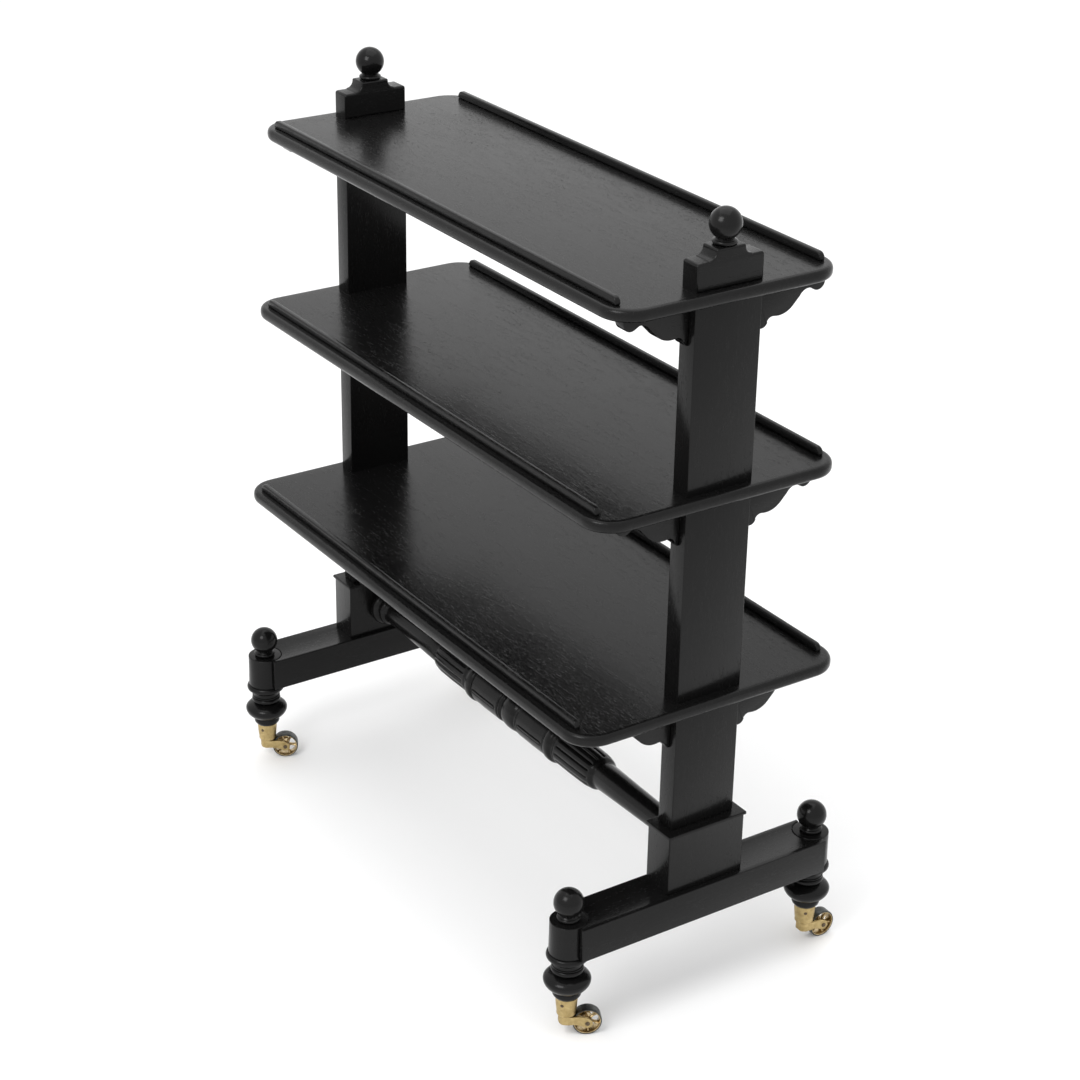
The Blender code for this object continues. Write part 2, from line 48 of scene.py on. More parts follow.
# Shared wooden sizes that a CAD box doesn't say
SHELF_CORNER = 0.0410
BULLNOSE_DEPTH = 0.0072
BULLNOSE_FULLNESS = 0.80
BULLNOSE_STEPS = 16
POST_EASE = 0.0011
RAIL_END = 0.0082
RAIL_EASE = 0.0034
CREST_SHOULDER = 0.0336
CREST_FLAT_HALF = 0.0205
CREST_STEP_HALF = 0.0285
CREST_ROUND = 0.0036
CREST_FILLET = 0.0006
CREST_EASE = 0.0024
CROWN_ROUND = 0.0022
BRACKET_LENGTH = 0.1015
BRACKET_DROP = 0.0500
BRACKET_BEAD = 0.0105
BRACKET_EASE = 0.0009
PLINTH_LIP = 0.0024
PLINTH_LIP_HEIGHT = 0.0050
PLINTH_COVE = 0.0016
PLINTH_ROUND = 0.0011
PLINTH_CORNER = 0.0016
BAR_HOLLOW = 0.0249
BAR_EASE = 0.0009
FINIAL_NECK = 0.0112
FINIAL_RING = 0.0149
FINIAL_FOOT = 0.0122
TENON_RADIUS = 0.0108
TENON_LENGTH = 0.0100

# Stretcher carving
REED_COUNT = 14
SIDES_PER_REED = 16
REED_DEPTH = 0.0027
REED_START_RUN = 0.006
REED_END_RUN = 0.004
BEAD_HALF_WIDTH = 0.0016
BEAD_RISE = 0.0006
GROOVE_WIDTH = 0.0016
GROOVE_DEPTH = 0.0015

# Castors
CORNERS = ("front_right", "back_right", "front_left", "back_left")
HALF_WHEEL = 0.0073
CHEEK_GAP = 0.0007
CHEEK_THICKNESS = 0.0024
HORN_GAP = 0.0003
HORN_BOSS = 0.0102
HORN_BOTTOM = 0.0178
HORN_HUB = 0.0066
HORN_ROUND = 0.0026
HORN_SLOT_GAP = 0.0008
BEYOND_HORN = 0.05
WHEEL_SPOKES = 6
SPOKE_SIDES = 14
SPOKE_STEPS = 8
SPOKE_WAIST = 0.32
SPOKE_HALF_DEPTH = 0.0024
SPOKE_HALF_WIDTH = 0.0044
RIM_DEPTH = 0.0032
TREAD_DEPTH = 0.0020
WHEEL_FIRST_TURN = 0.4
WHEEL_NEXT_TURN = 0.9
AXLE_HEAD = 0.0030
AXLE_HEAD_RISE = 0.0016
CUP_SCREW_REACH = 0.0136
CUP_SCREW_DROP = 0.0085

# Finishes: how fine each pattern is, and how far the grain is drawn out along a board
LACQUER_IOR = 1.27
LACQUER_COLOURS = ((0.0032, 0.0032, 0.0034), (0.0060, 0.0058, 0.0056))
GRAIN_STRETCH = 0.16
MOTTLE_STRETCH = 0.35
FIBRE_SCALE = 1000.0
FIGURE_SCALE = 60.0
MOTTLE_SCALE = 210.0
DRIFT_SCALE = 9.0
PATINA_SCALE = 140.0
GRIT_SCALE = 1800.0

# Studio
WORLD_STRENGTH = 1.10
FLOOR_HALF = 30
FLOOR_COLOURS = ((0.945, 0.945, 0.945), (0.955, 0.955, 0.955))
# Name, place, target, side and power of each soft light
SOFTBOXES = (
    ("overhead", (-0.25, 0.30, 3.0), (0, 0, 0), 2.4, 22),
    ("front", (0.75, -2.0, 2.5), (0, 0, 0.6), 1.20, 33),
)

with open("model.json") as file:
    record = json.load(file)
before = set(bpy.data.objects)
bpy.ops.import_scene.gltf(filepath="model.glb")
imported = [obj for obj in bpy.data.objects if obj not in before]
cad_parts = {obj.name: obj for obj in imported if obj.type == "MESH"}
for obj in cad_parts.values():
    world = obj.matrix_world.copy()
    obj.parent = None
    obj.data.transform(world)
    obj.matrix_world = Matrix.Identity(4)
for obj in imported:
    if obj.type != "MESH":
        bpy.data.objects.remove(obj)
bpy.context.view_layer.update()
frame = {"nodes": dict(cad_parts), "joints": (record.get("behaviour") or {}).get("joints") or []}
joints = {joint["name"]: joint for joint in frame["joints"]}
low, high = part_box("shelf_top")
MID_Y = (low.y + high.y) / 2


# ---------------------------------------------------------------- materials


def new_material(name):
    material = bpy.data.materials.new(name)
    material.use_nodes = True
    tree = material.node_tree
    return material, tree, tree.nodes["Principled BSDF"]


def add_node(tree, kind, **settings):
    node = tree.nodes.new(kind)
    for key, value in settings.items():
        setattr(node, key, value)
    return node


def mapped(tree, scale):
    """Object coordinates stretched by scale."""
    coords = add_node(tree, "ShaderNodeTexCoord")
    mapping = add_node(tree, "ShaderNodeMapping")
    mapping.inputs["Scale"].default_value = scale
    tree.links.new(coords.outputs["Object"], mapping.inputs["Vector"])
    return mapping.outputs["Vector"]


def add_noise(tree, vector, scale, detail=4.0, rough=0.5, distortion=0.0):
    node = add_node(tree, "ShaderNodeTexNoise")
    node.inputs["Scale"].default_value = scale
    node.inputs["Detail"].default_value = detail
    node.inputs["Roughness"].default_value = rough
    node.inputs["Distortion"].default_value = distortion
    tree.links.new(vector, node.inputs["Vector"])
    return node.outputs["Fac"]


def ranged(tree, value, from_low, from_high, to_low, to_high):
    node = add_node(tree, "ShaderNodeMapRange")
    node.inputs["From Min"].default_value = from_low
    node.inputs["From Max"].default_value = from_high
    node.inputs["To Min"].default_value = to_low
    node.inputs["To Max"].default_value = to_high
    tree.links.new(value, node.inputs["Value"])
    return node.outputs["Result"]


def arithmetic(tree, operation, first, second):
    node = add_node(tree, "ShaderNodeMath", operation=operation)
    for socket, value in zip(node.inputs, (first, second)):
        if isinstance(value, float):
            socket.default_value = value
        else:
            tree.links.new(value, socket)
    return node.outputs["Value"]


def add_bump(tree, shader, height, distance, below=None):
    bump = add_node(tree, "ShaderNodeBump")
    bump.inputs["Strength"].default_value = 1.0
    bump.inputs["Distance"].default_value = distance
    tree.links.new(height, bump.inputs["Height"])
    if below is not None:
        tree.links.new(below, bump.inputs["Normal"])
    tree.links.new(bump.outputs["Normal"], shader.inputs["Normal"])
    return bump.outputs["Normal"]


def colour_between(tree, shader, factor, first, second):
    mix = add_node(tree, "ShaderNodeMix", data_type="RGBA")
    mix.inputs["A"].default_value = (*first, 1)
    mix.inputs["B"].default_value = (*second, 1)
    tree.links.new(factor, mix.inputs["Factor"])
    tree.links.new(mix.outputs["Result"], shader.inputs["Base Color"])


def lacquer(name, along, pores, wave):
    """Black lacquer over wood whose grain runs along one axis.

    pores is how deep the open grain shows through the lacquer, wave how much its surface undulates.
    """
    material, tree, shader = new_material(name)
    grain = mapped(tree, [GRAIN_STRETCH if axis == along else 1.0 for axis in "XYZ"])
    board = mapped(tree, [MOTTLE_STRETCH if axis == along else 1.0 for axis in "XYZ"])
    plain = mapped(tree, (1, 1, 1))
    fibres = add_noise(tree, grain, FIBRE_SCALE, 3.0, 0.6, 0.5)
    figure = add_noise(tree, grain, FIGURE_SCALE, 3.0, 0.55, 2.6)
    mottle = add_noise(tree, board, MOTTLE_SCALE, 3.0, 0.6, 0.8)
    drift = add_noise(tree, plain, DRIFT_SCALE, 3.0, 0.5)
    open_grain = ranged(tree, fibres, 0.46, 0.32, 0.0, 1.0)
    patch = ranged(tree, figure, 0.40, 0.60, 0.25, 1.0)
    pore = arithmetic(tree, "MULTIPLY", open_grain, patch)
    colour_between(tree, shader, drift, *LACQUER_COLOURS)
    roughness = ranged(tree, drift, 0.3, 0.7, 0.17, 0.23)
    pored = arithmetic(tree, "MULTIPLY", pore, 0.14)
    tree.links.new(arithmetic(tree, "ADD", roughness, pored), shader.inputs["Roughness"])
    shader.inputs["IOR"].default_value = LACQUER_IOR
    waves = add_bump(tree, shader, figure, wave)
    ripple = add_bump(tree, shader, mottle, wave / 6, waves)
    add_bump(tree, shader, pore, -pores, ripple)
    return material


def metal(name, light, dark, roughness, grit):
    """Cast metal with a patchy patina."""
    material, tree, shader = new_material(name)
    plain = mapped(tree, (1, 1, 1))
    patina = add_noise(tree, plain, PATINA_SCALE, 5.0, 0.6, 0.6)
    grain = add_noise(tree, plain, GRIT_SCALE, 2.0, 0.6)
    shader.inputs["Metallic"].default_value = 1.0
    colour_between(tree, shader, ranged(tree, patina, 0.35, 0.68, 0.0, 1.0), light, dark)
    worn = ranged(tree, patina, 0.3, 0.7, roughness - 0.07, roughness + 0.12)
    tree.links.new(worn, shader.inputs["Roughness"])
    add_bump(tree, shader, grain, grit)
    return material


def floor_material():
    material, tree, shader = new_material("studio_floor")
    plain = mapped(tree, (1, 1, 1))
    tone = add_noise(tree, plain, 0.6, 2.0)
    colour_between(tree, shader, tone, *FLOOR_COLOURS)
    shader.inputs["Roughness"].default_value = 0.9
    shader.inputs["Specular IOR Level"].default_value = 0.1
    return material


WOOD = {
    "X": lacquer("lacquer_long_grain", "X", 0.00009, 0.00016),
    "Y": lacquer("lacquer_cross_grain", "Y", 0.00007, 0.00010),
    "Z": lacquer("lacquer_upright_grain", "Z", 0.00007, 0.00010),
    "turned": lacquer("lacquer_turned", "Z", 0.00003, 0.00012),
    "turned_long": lacquer("lacquer_turned_long", "X", 0.00004, 0.00012),
}
BRASS = metal("cast_brass", (0.50, 0.385, 0.185), (0.36, 0.265, 0.115), 0.40, 0.00004)
WHEEL_BRASS = metal("wheel_brass", (0.60, 0.47, 0.27), (0.25, 0.18, 0.08), 0.26, 0.00005)
TREAD = metal("wheel_tread", (0.085, 0.090, 0.085), (0.045, 0.042, 0.040), 0.38, 0.00006)
STEEL = metal("pin_steel", (0.16, 0.12, 0.08), (0.07, 0.055, 0.04), 0.40, 0.00003)


# ---------------------------------------------------------------- mesh making


def finished(bm, name, smooth_angle=35):
    bmesh.ops.recalc_face_normals(bm, faces=bm.faces)
    mesh = bpy.data.meshes.new(name)
    bm.to_mesh(mesh)
    bm.free()
    mesh.shade_smooth()
    mesh.set_sharp_from_angle(angle=math.radians(smooth_angle))
    return mesh


def add_piece(name, mesh, material, body, slot, stands_for, matrix=None):
    """An object that rides a body, and stands for one CAD node unless it is an extra."""
    if matrix is not None:
        mesh = mesh.copy()
        mesh.transform(matrix)
    piece = bpy.data.objects.new(name, mesh)
    if material is not None and not mesh.materials:
        mesh.materials.append(material)
    bpy.context.scene.collection.objects.link(piece)
    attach(piece, body)
    if stands_for:
        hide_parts(stands_for)


def add_wood(name, mesh, grain, node, matrix=None):
    add_piece(name, mesh, WOOD[grain], "root", "ebonised_wood", node, matrix)


def turns_between(start, end, steps):
    """Angles in radians from start to end, both given in degrees."""
    return [math.radians(start + (end - start) * i / steps) for i in range(steps + 1)]


def quarter(steps):
    """The angles of a quarter turn, without the zero."""
    return turns_between(0, 90, steps)[1:]


def arc(centre, radius, start, end, steps):
    turns = turns_between(start, end, steps)
    return [(centre[0] + radius * math.cos(a), centre[1] + radius * math.sin(a)) for a in turns]


def oval(centre_z, radius, half_height, start, end, steps, base=0.0):
    """(radius, height) points of a bead: start and end are degrees above its widest place."""
    turns = turns_between(start, end, steps)
    return [(base + (radius - base) * math.cos(a), centre_z + half_height * math.sin(a)) for a in turns]


def turned(name, profile, sides=FINE, closed=False):
    bm = bmesh.new()
    points = [bm.verts.new((radius, 0, height)) for radius, height in profile]
    pairs = list(zip(points, points[1:]))
    if closed:
        pairs.append((points[-1], points[0]))
    edges = [bm.edges.new(pair) for pair in pairs]
    bmesh.ops.spin(
        bm, geom=points + edges, axis=(0, 0, 1), cent=(0, 0, 0), angle=math.tau, steps=sides, use_merge=True
    )
    bmesh.ops.remove_doubles(bm, verts=bm.verts, dist=1e-6)
    return finished(bm, name, 40)


def stacked(name, rings, smooth_angle=35):
    """A mesh through closed rings of points, capped at both ends."""
    bm = bmesh.new()
    rows = [[bm.verts.new(point) for point in ring] for ring in rings]
    for lower, upper in zip(rows, rows[1:]):
        for i, here in enumerate(lower):
            after = (i + 1) % len(lower)
            bm.faces.new((here, lower[after], upper[after], upper[i]))
    bm.faces.new(rows[0][::-1])
    bm.faces.new(rows[-1])
    return finished(bm, name, smooth_angle)


def rounded_outline(half_x, half_y, radius, steps):
    points = []
    for side_x, side_y, start in ((1, 1, 0), (-1, 1, 90), (-1, -1, 180), (1, -1, 270)):
        centre = (side_x * (half_x - radius), side_y * (half_y - radius))
        points += arc(centre, radius, start, start + 90, steps)
    return points


def lifted(outline, plane, level):
    """The outline's points in the plane of two axes, at one level along the third."""
    first, second = plane
    third = 3 - first - second
    points = []
    for point in outline:
        place = [0.0, 0.0, 0.0]
        place[first], place[second] = point
        place[third] = level
        points.append(place)
    return points


def extruded(name, outline, plane, start, depth, ease):
    """An outline in the plane of two axes, pushed from start along the third, with eased edges."""
    bm = bmesh.new()
    rows = []
    for level in (start, start + depth):
        rows.append([bm.verts.new(place) for place in lifted(outline, plane, level)])
    count = len(outline)
    rims = []
    for i in range(count):
        after = (i + 1) % count
        bm.faces.new((rows[0][i], rows[0][after], rows[1][after], rows[1][i]))
    for row in rows:
        rims += bm.faces.new(row).edges[:]
    bmesh.ops.recalc_face_normals(bm, faces=bm.faces)
    corners = [
        edge for edge in bm.edges if edge not in rims and edge.calc_face_angle(0) > math.radians(50)
    ]
    bmesh.ops.bevel(
        bm, geom=rims + corners, offset=ease, segments=3, profile=0.5, affect="EDGES", clamp_overlap=True
    )
    bmesh.ops.remove_doubles(bm, verts=bm.verts, dist=1e-7)
    return finished(bm, name, 32)


def inset(outline, distance):
    """The outline moved inwards: outlines run anticlockwise."""
    count = len(outline)
    moved = []
    for i, (x, y) in enumerate(outline):
        before = Vector(outline[i - 1])
        after = Vector(outline[(i + 1) % count])
        here = Vector((x, y))
        into = (here - before).normalized()
        out_of = (after - here).normalized()
        normal = Vector((-into.y - out_of.y, into.x + out_of.x)).normalized()
        reach = distance / max(normal.dot(Vector((-into.y, into.x))), 0.5)
        moved.append((x + normal.x * reach, y + normal.y * reach))
    return moved


def soft_edged(name, outline, plane, start, depth, ease, steps=5):
    """An outline pushed out as extruded does it, with its rims rounded over in steps."""
    following = outline[1:] + outline[:1]
    area = sum(x * next_y - next_x * y for (x, y), (next_x, next_y) in zip(outline, following))
    if area < 0:
        outline = outline[::-1]
    turns = turns_between(0, 90, steps)
    levels = [(start + ease * (1 - math.sin(a)), ease * (1 - math.cos(a))) for a in reversed(turns)]
    levels += [(start + depth - ease * (1 - math.sin(a)), ease * (1 - math.cos(a))) for a in turns]
    rings = [lifted(inset(outline, inward), plane, level) for level, inward in levels]
    return stacked(name, rings, 40)


# ---------------------------------------------------------------- wooden pieces


def make_post(node):
    """A board with softly rounded edges."""
    low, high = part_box(node)
    outline = [(low.x, low.y), (high.x, low.y), (high.x, high.y), (low.x, high.y)]
    mesh = extruded(node, outline, (0, 1), low.z, high.z - low.z, POST_EASE)
    add_wood(f"{node}_board", mesh, "Z", node)


def make_shelf(node):
    """A board with round corners and a bullnose all round."""
    low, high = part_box(node)
    half_x, half_y = (high.x - low.x) / 2, (high.y - low.y) / 2
    middle, half_z = (high.z + low.z) / 2, (high.z - low.z) / 2
    rings = []
    for turn in turns_between(-90, 90, BULLNOSE_STEPS):
        out = BULLNOSE_DEPTH * (max(math.cos(turn), 0.0) ** BULLNOSE_FULLNESS - 1)
        rise = math.copysign(abs(math.sin(turn)) ** BULLNOSE_FULLNESS, turn)
        outline = rounded_outline(half_x + out, half_y + out, SHELF_CORNER + out, 14)
        rings.append([(x, y + MID_Y, middle + half_z * rise) for x, y in outline])
    add_wood(f"{node}_moulded", stacked(node, rings, 50), "X", node)


def make_rail(node):
    """A strip along a shelf's edge, rounded down at both ends."""
    low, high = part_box(node)
    reach, height = high.x, high.z
    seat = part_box("shelf_" + node.split("_")[1])[1].z
    right = arc((reach - RAIL_END, height - RAIL_END), RAIL_END, 0, 90, 8)
    left = arc((RAIL_END - reach, height - RAIL_END), RAIL_END, 90, 180, 8)
    outline = [(-reach, seat), (reach, seat)] + right + left
    mesh = extruded(node, outline, (0, 2), low.y, high.y - low.y, RAIL_EASE)
    add_wood(f"{node}_rounded", mesh, "X", node)


def crest_outline(height):
    """Half width and height points of a stepped block: rounded shoulders, a cove and a flat top."""
    half_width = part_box("crest_right")[1].y - MID_Y
    foot, foot_rise, riser = CREST_STEP_HALF + 0.0016, CREST_SHOULDER + 0.0010, 0.0026
    run = foot - CREST_FLAT_HALF
    rise = height - riser - foot_rise
    shoulder = arc((half_width - CREST_ROUND, CREST_SHOULDER - CREST_ROUND), CREST_ROUND, 0, 90, 6)
    fillet_centre = (foot + CREST_FILLET, CREST_SHOULDER + CREST_FILLET)
    fillet = arc(fillet_centre, CREST_FILLET, 270, 180, 3)
    cove = [(foot - run * math.sin(a), foot_rise + rise * (1 - math.cos(a))) for a in quarter(8)]
    crown = arc((CREST_FLAT_HALF - CROWN_ROUND, height - CROWN_ROUND), CROWN_ROUND, 10, 90, 5)
    half = [(half_width, 0.0)] + shoulder + fillet + cove + crown
    return half + [(-y, z) for y, z in reversed(half)]


def make_crest(node):
    low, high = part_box(node)
    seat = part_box("shelf_top")[1].z
    outline = [(MID_Y + y, seat + z) for y, z in crest_outline(high.z - seat)]
    mesh = soft_edged(node, outline, (1, 2), low.x, high.x - low.x, CREST_EASE)
    add_wood(f"{node}_block", mesh, "Y", node)


def bracket_outline(shown):
    """Out from the post and down from the shelf; shown is how much of its length stands clear."""
    bead = arc((BRACKET_LENGTH - BRACKET_BEAD, 0.0072), BRACKET_BEAD, 0, 125, 14)
    hollow = [(0.0800, 0.0128)]
    upper = arc((0.0776, 0.0272), 0.0145, -80, -150, 10)
    belly = arc((0.0345, 0.0090), 0.0296, 42, 100, 12)
    cove = arc((0.0262, 0.0466), 0.0088, -90, -165, 8)
    foot = arc((0.0108, 0.0418), 0.0082, 10, 90, 8)
    edge = [(BRACKET_LENGTH, 0.0)] + bead + hollow + upper + belly + cove + foot
    let_in = BRACKET_LENGTH - shown
    clear = [(out - let_in, down) for out, down in edge if out > let_in]
    return clear + [(0.0, BRACKET_DROP), (0.0, 0.0)]


def make_bracket(node):
    low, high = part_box(node)
    back = "_back" in node
    post_face = low.y if back else high.y
    sign = 1 if back else -1
    outline = [(post_face + sign * out, high.z - down) for out, down in bracket_outline(high.y - low.y)]
    mesh = soft_edged(node, outline, (1, 2), low.x, high.x - low.x, BRACKET_EASE, 3)
    add_wood(f"{node}_scroll", mesh, "Y", node)


def make_plinth(node):
    """A block with a moulded lip round its top."""
    low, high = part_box(node)
    mid_x = (low.x + high.x) / 2
    half_x, half_y = (high.x - low.x) / 2 - PLINTH_LIP, (high.y - low.y) / 2 - PLINTH_LIP
    lip = high.z - PLINTH_LIP_HEIGHT
    profile = [(0.0, low.z), (0.0, lip)]
    profile += [(PLINTH_LIP * (1 - math.cos(a)), lip + PLINTH_COVE * math.sin(a)) for a in quarter(5)]
    profile += arc((PLINTH_LIP - PLINTH_ROUND, high.z - PLINTH_ROUND), PLINTH_ROUND, 0, 90, 5)[1:]
    rings = []
    for out, height in profile:
        outline = rounded_outline(half_x + out, half_y + out, PLINTH_CORNER, 4)
        rings.append([(mid_x + x, MID_Y + y, height) for x, y in outline])
    add_wood(f"{node}_block", stacked(node, rings, 40), "Z", node)


def make_foot_bar(node):
    """A bar whose ends are hollowed to take the round legs."""
    low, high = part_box(node)
    end = "right" if "right" in node else "left"
    leg_low, leg_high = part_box(f"leg_back_{end}")
    leg_x = (leg_low.x + leg_high.x) / 2
    front = arc((leg_x, low.y), BAR_HOLLOW, 180, 0, 28)
    back = arc((leg_x, high.y), BAR_HOLLOW, 360, 180, 28)
    outline = [(low.x, low.y)] + front + [(high.x, low.y), (high.x, high.y)] + back + [(low.x, high.y)]
    mesh = extruded(node, outline, (0, 1), low.z, high.z - low.z, BAR_EASE)
    add_wood(f"{node}_beam", mesh, "Y", node)


def leg_profile(drum_top, cup_top):
    """From the top down: eased drum, ring, hollow, neck ring, bulb, ankle and a short tenon."""
    drum = [(0, drum_top), (0.0228, drum_top)] + arc((0.0228, drum_top - 0.0010), 0.0010, 90, 0, 4)
    drum += [(0.0239, 0.1480), (0.0243, 0.1300), (0.0243, 0.1256), (0.0236, 0.1248), (0.0236, 0.1240)]
    ring = oval(0.1196, 0.0273, 0.0043, 84, -70, 16, 0.0236)
    hollow = [(0.0216, 0.1146), (0.0200, 0.1128), (0.0190, 0.1104), (0.0186, 0.1080), (0.0190, 0.1062)]
    step = [(0.0202, 0.1054), (0.0202, 0.1044), (0.0182, 0.1038), (0.0182, 0.1028)]
    neck = oval(0.0992, 0.0210, 0.0034, 80, -60, 12, 0.0184)
    upper = oval(0.0838, 0.0303, 0.0118, 62, 0, 16)
    lower = oval(0.0838, 0.0303, 0.0186, -4, -54, 16)
    ankle = [(0.0176, 0.0676), (0.0181, 0.0668), (0.0184, 0.0640), (0.0184, 0.0622), (0.0180, 0.0608)]
    ankle += [(0.0160, cup_top + 0.0008)]
    tenon = [(0.0157, cup_top + 0.0003), (TENON_RADIUS, cup_top + 0.0003)]
    tenon += [(TENON_RADIUS, cup_top - TENON_LENGTH), (0, cup_top - TENON_LENGTH)]
    return drum + ring + hollow + step + neck + upper + lower + ankle + tenon


def finial_profile(ball_rise, top):
    """A ball on a waisted neck and a ring."""
    ball = top - ball_rise
    angle = math.degrees(math.acos(FINIAL_NECK / ball))
    points = oval(ball_rise, ball, ball, 90, -angle, 40)
    points[0] = (0, top)
    neck_top = ball_rise - math.sqrt(ball**2 - FINIAL_NECK**2)
    ring_top = neck_top - 0.0022
    points += [(FINIAL_NECK - 0.0002, neck_top - 0.0008), (FINIAL_NECK + 0.0003, ring_top + 0.0008)]
    points += [(FINIAL_NECK + 0.0013, ring_top)]
    points += oval(ring_top / 2, FINIAL_RING, ring_top / 2 - 0.0002, 80, -80, 14, FINIAL_FOOT)
    return points + [(FINIAL_FOOT, 0), (0, 0)]


def make_turnings():
    """The legs and the finials."""
    cup_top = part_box("castor_cup_front_right")[1].z
    for node in [name for name in frame["nodes"] if name.startswith("leg_")]:
        low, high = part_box(node)
        mesh = turned(node, leg_profile(high.z, cup_top))
        place = Matrix.Translation(((low.x + high.x) / 2, (low.y + high.y) / 2, 0))
        add_wood(f"{node}_turned", mesh, "turned", node, place)
    for node in [name for name in frame["nodes"] if "_finial_" in name]:
        low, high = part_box(node)
        rise = high.z - low.z - (high.y - low.y) / 2
        mesh = turned(node, finial_profile(rise, high.z - low.z))
        place = Matrix.Translation(((low.x + high.x) / 2, (low.y + high.y) / 2, low.z))
        add_wood(f"{node}_ball", mesh, "turned", node, place)


def smooth_step(value, start, end):
    """0 at the start, 1 at the end, and level at both."""
    part = min(max((value - start) / (end - start), 0.0), 1.0)
    return part * part * (3 - 2 * part)


# Stretcher from its middle outwards: distance and radius
STRETCHER = (
    (0.0000, 0.0281), (0.0040, 0.0280), (0.0080, 0.0274), (0.0115, 0.0265), (0.0140, 0.0253),
    (0.0152, 0.0242), (0.0172, 0.0238), (0.0186, 0.0242), (0.0192, 0.0258), (0.0202, 0.0266),
    (0.0216, 0.0266), (0.0226, 0.0258), (0.0234, 0.0250), (0.0242, 0.0264), (0.0258, 0.0272),
    (0.0600, 0.0275), (0.0880, 0.0271), (0.0905, 0.0264), (0.0916, 0.0262), (0.0926, 0.0276),
    (0.0948, 0.0288), (0.0990, 0.0291), (0.1034, 0.0287), (0.1056, 0.0275), (0.1068, 0.0256),
    (0.1082, 0.0247), (0.1110, 0.0244), (0.1128, 0.0250), (0.1150, 0.0256), (0.1500, 0.0259),
    (0.1800, 0.0254), (0.1880, 0.0246), (0.1940, 0.0232), (0.1972, 0.0214), (0.1984, 0.0196),
    (0.1996, 0.0190), (0.2010, 0.0193), (0.2500, 0.0180), (0.3100, 0.0168), (0.3420, 0.0165),
    (0.3470, 0.0168), (0.3484, 0.0180), (0.3494, 0.0198), (0.3512, 0.0211), (0.3535, 0.0215),
    (0.3558, 0.0211), (0.3576, 0.0196), (0.3586, 0.0182), (0.3600, 0.0184), (0.3612, 0.0212),
    (0.3630, 0.0244), (0.3655, 0.0259), (0.3690, 0.0262), (0.3720, 0.0254), (0.3742, 0.0236),
    (0.3757, 0.0214),
)
PANEL = (0.0300, 0.0860)
REEDED = (0.1150, 0.1930)


def stretcher_radius(distance, turn):
    """The radius with its carving: grooved beads on the panels, and reeds beyond the ring."""
    for (start, first), (end, second) in zip(STRETCHER, STRETCHER[1:]):
        if distance <= end:
            radius = first + (second - first) * (distance - start) / (end - start)
            break
    quarter_turn = math.tau / 4
    aside = abs((turn + quarter_turn / 2) % quarter_turn - quarter_turn / 2) * radius
    middle, half = (PANEL[0] + PANEL[1]) / 2, (PANEL[1] - PANEL[0]) / 2
    away = math.hypot(max(abs(distance - middle) - half + BEAD_HALF_WIDTH, 0.0), aside)
    if away < BEAD_HALF_WIDTH:
        radius += BEAD_RISE * math.sqrt(1 - (away / BEAD_HALF_WIDTH) ** 2)
    elif away < BEAD_HALF_WIDTH + GROOVE_WIDTH:
        radius -= GROOVE_DEPTH * math.sin(math.pi * (away - BEAD_HALF_WIDTH) / GROOVE_WIDTH)
    inside = smooth_step(distance, REEDED[0], REEDED[0] + REED_START_RUN)
    inside *= 1 - smooth_step(distance, REEDED[1] - REED_END_RUN, REEDED[1])
    across = (turn * REED_COUNT / math.tau) % 1.0 * 2 - 1
    return radius - REED_DEPTH * inside * (1 - math.sqrt(1 - across * across))


def make_stretcher():
    """A turning along X, with closer rings where it is carved."""
    low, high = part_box("stretcher")
    sides = REED_COUNT * SIDES_PER_REED
    steps = {point[0] for point in STRETCHER} | {0.024 + 0.0011 * i for i in range(60)}
    steps |= {REEDED[0] + 0.0015 * i for i in range(5)} | {REEDED[1] - 0.0010 * i for i in range(5)}
    steps = sorted(step for step in steps if step <= high.x)
    distances = [-step for step in reversed(steps) if step > 0] + steps
    rings = []
    for distance in distances:
        ring = []
        for i in range(sides):
            turn = math.tau * i / sides
            radius = stretcher_radius(abs(distance), turn)
            ring.append((distance, radius * math.cos(turn), radius * math.sin(turn)))
        rings.append(ring)
    place = Matrix.Translation((0, MID_Y, (low.z + high.z) / 2))
    add_wood("stretcher_carved", stacked("stretcher", rings, 55), "turned_long", "stretcher", place)


# ---------------------------------------------------------------- castors


def cup_mesh(bottom, top):
    """A cup with a thin lip, a drawn-in foot and an open socket."""
    outer = [(0.0113, top), (0.0137, top)] + arc((0.0137, top - 0.0005), 0.0005, 90, 0, 3)
    outer += [(0.0141, top - 0.0040), (0.0138, top - 0.0090), (0.0134, top - 0.0140), (0.0129, top - 0.0190)]
    outer += arc((0.0098, bottom + 0.0027), 0.0027, 28, -80, 8)
    inner = [(0.0033, bottom), (0.0033, bottom + 0.0045), (0.0052, bottom + 0.0045)]
    inner += [(0.0052, bottom + 0.0083), (0.0113, bottom + 0.0083)]
    return turned("cup", outer + inner, SMALL, closed=True)


def boolean(obj, operation, tool):
    cut = obj.modifiers.new(operation.lower(), "BOOLEAN")
    cut.operation = operation
    cut.solver = "EXACT"
    cut.object = tool


def helper(name, mesh):
    """A hidden object that a Boolean works on and then uses up."""
    obj = bpy.data.objects.new(name, mesh)
    bpy.context.scene.collection.objects.link(obj)
    obj.hide_render = True
    return obj


def applied(obj, tools, name, smooth_angle=35):
    """The mesh of a helper after its modifiers; it and its tools are removed."""
    bpy.context.view_layer.update()
    mesh = bpy.data.meshes.new_from_object(obj.evaluated_get(bpy.context.evaluated_depsgraph_get()))
    mesh.name = name
    for each in (obj, *tools):
        bpy.data.objects.remove(each, do_unlink=True)
    mesh.shade_smooth()
    mesh.set_sharp_from_angle(angle=math.radians(smooth_angle))
    return mesh


